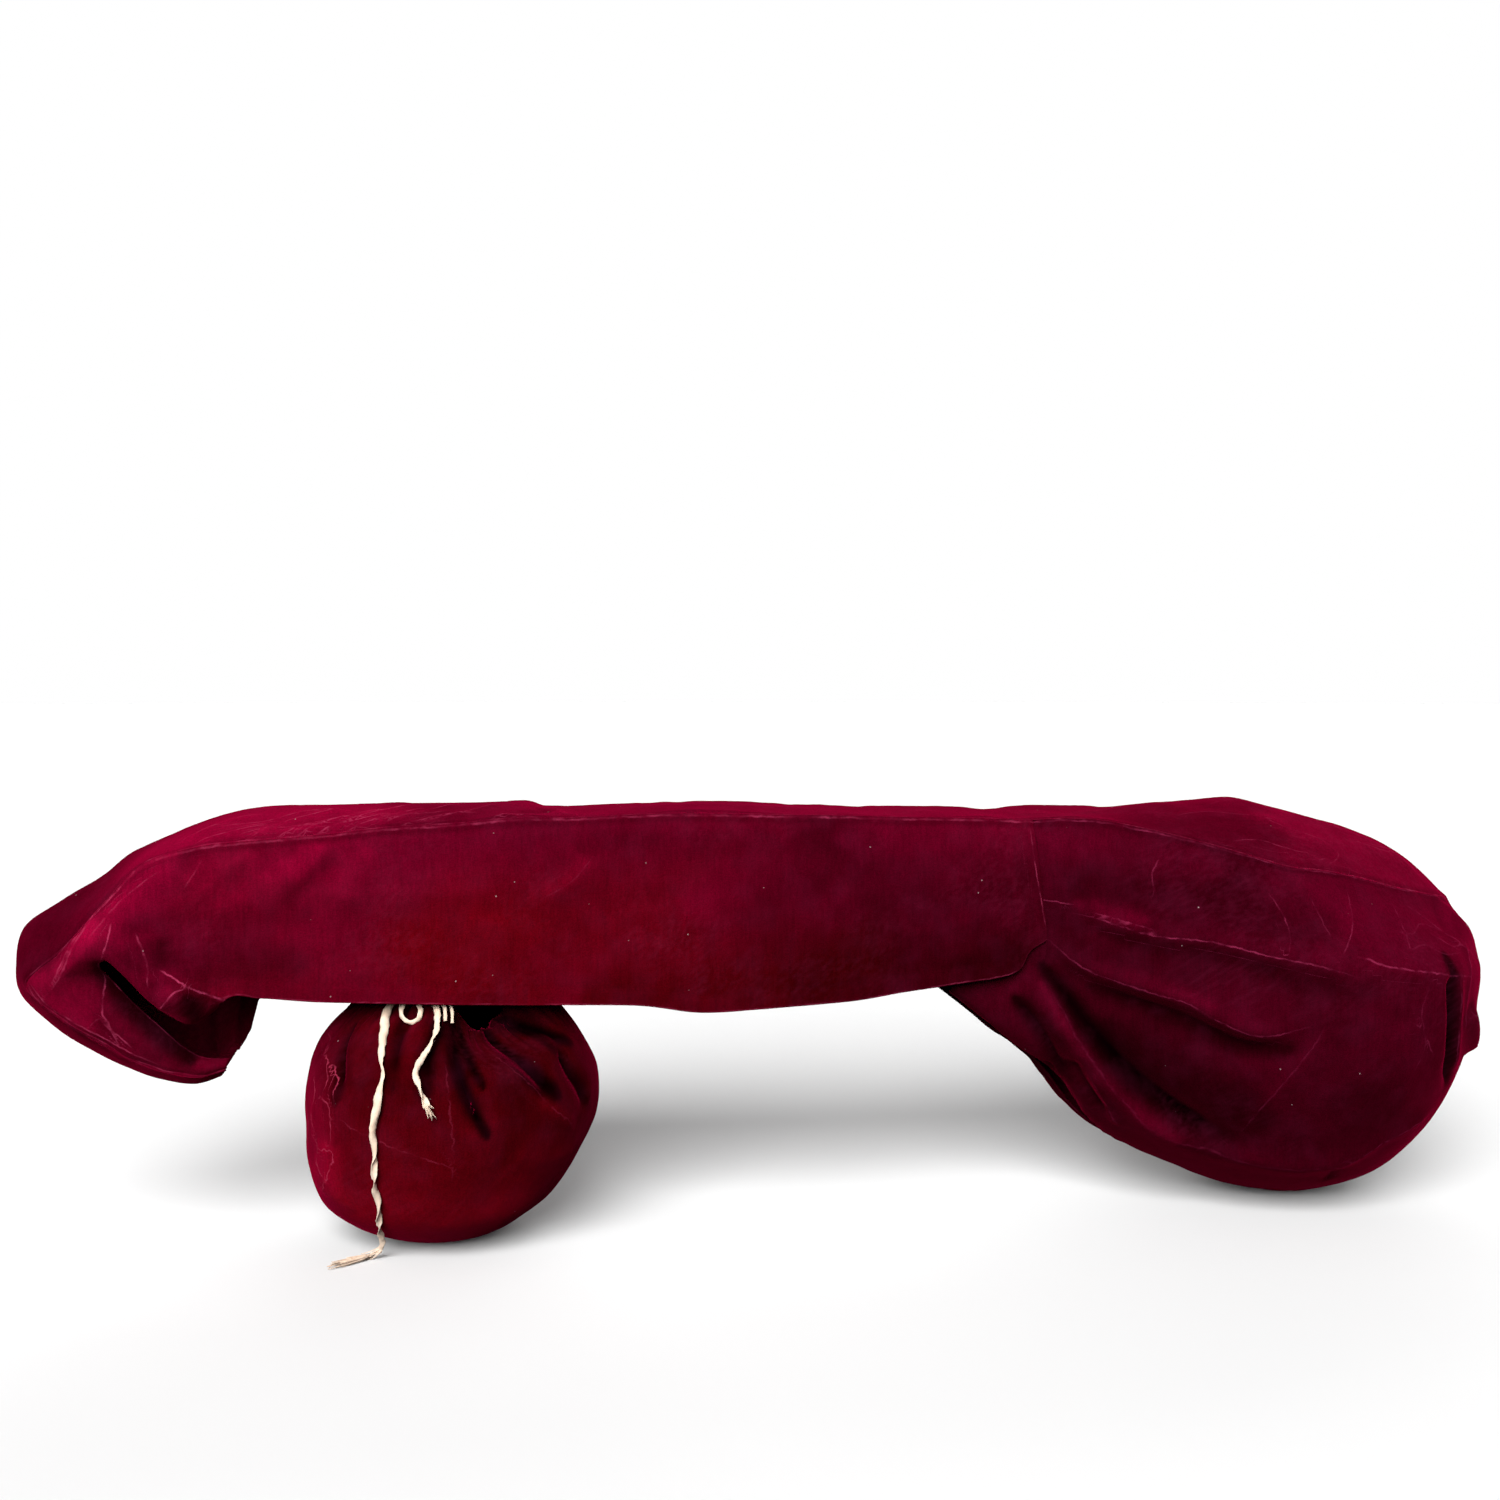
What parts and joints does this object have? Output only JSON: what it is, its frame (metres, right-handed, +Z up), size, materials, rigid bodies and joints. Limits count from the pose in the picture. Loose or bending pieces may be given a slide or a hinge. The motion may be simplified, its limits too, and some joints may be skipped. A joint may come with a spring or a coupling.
{
  "type": "veena cover",
  "caption": "Fitted crimson velvet cover for a long-necked lute: channel over the neck, pouches for bowl and head, and a drawstring bag for the second gourd tied with cream tape.",
  "frame": {"origin": "on the underside of the top strip, over the middle of the neck, where the instrument carries the cover", "axes": "+X along the neck towards the bowl, +Y to the back, +Z up; the floor is 374 mm below the origin"},
  "size_m": [1.3475, 0.3672, 0.3821],
  "materials": {
    "crimson_velvet": "soft cut pile, deep crimson, creased from storage",
    "cream_cotton_tape": "flat woven cotton tape, slightly grubby"
  },
  "bodies": {
    "root": {"top_panel": "crimson_velvet", "neck_front": "crimson_velvet", "neck_back": "crimson_velvet", "bowl_front": "crimson_velvet", "bowl_back": "crimson_velvet", "gourd_bag": "crimson_velvet", "tie_knot": "cream_cotton_tape", "tie_loop": "cream_cotton_tape", "tie_long_end": "cream_cotton_tape", "tie_short_end": "cream_cotton_tape"}
  },
  "joints": []
}
